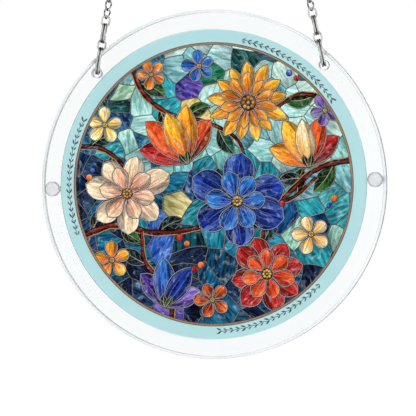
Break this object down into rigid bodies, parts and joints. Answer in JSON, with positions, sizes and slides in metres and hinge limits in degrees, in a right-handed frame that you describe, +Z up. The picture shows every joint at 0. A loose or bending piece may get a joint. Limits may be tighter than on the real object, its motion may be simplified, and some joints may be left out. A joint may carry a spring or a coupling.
{
  "type": "mosaic suncatcher",
  "caption": "Round stained-glass-style picture disc held by magnets between clear acrylic panes, hanging from a ring on split rings and curb chains.",
  "frame": {"origin": "top of the hanging ring's hole, where the hook bears", "axes": "+Z up along the hanging line, the picture faces -Y, +X to the viewer's right"},
  "size_m": [0.2, 0.016, 0.5129],
  "materials": {
    "clear_acrylic": "polished clear acrylic with polished edges",
    "printed_picture": "gloss print: pale aqua border round a picture in blue, teal, green, red and gold",
    "magnet_plate": "dull nickel plate, lightly mottled",
    "nickel_plate": "bright nickel plate",
    "steel_chain": "bright steel with darker recesses"
  },
  "bodies": {
    "root": {"front_pane": "clear_acrylic", "back_pane": "clear_acrylic", "picture_disc": "printed_picture", "magnet_left": "magnet_plate", "magnet_right": "magnet_plate", "lower_ring_left": "nickel_plate", "joining_link_left": "nickel_plate", "upper_ring_left": "nickel_plate", "end_link_left": "nickel_plate", "chain_left": "steel_chain", "top_link_left": "nickel_plate", "lower_ring_right": "nickel_plate", "joining_link_right": "nickel_plate", "upper_ring_right": "nickel_plate", "end_link_right": "nickel_plate", "chain_right": "steel_chain", "top_link_right": "nickel_plate", "hanging_ring": "nickel_plate"}
  },
  "joints": []
}
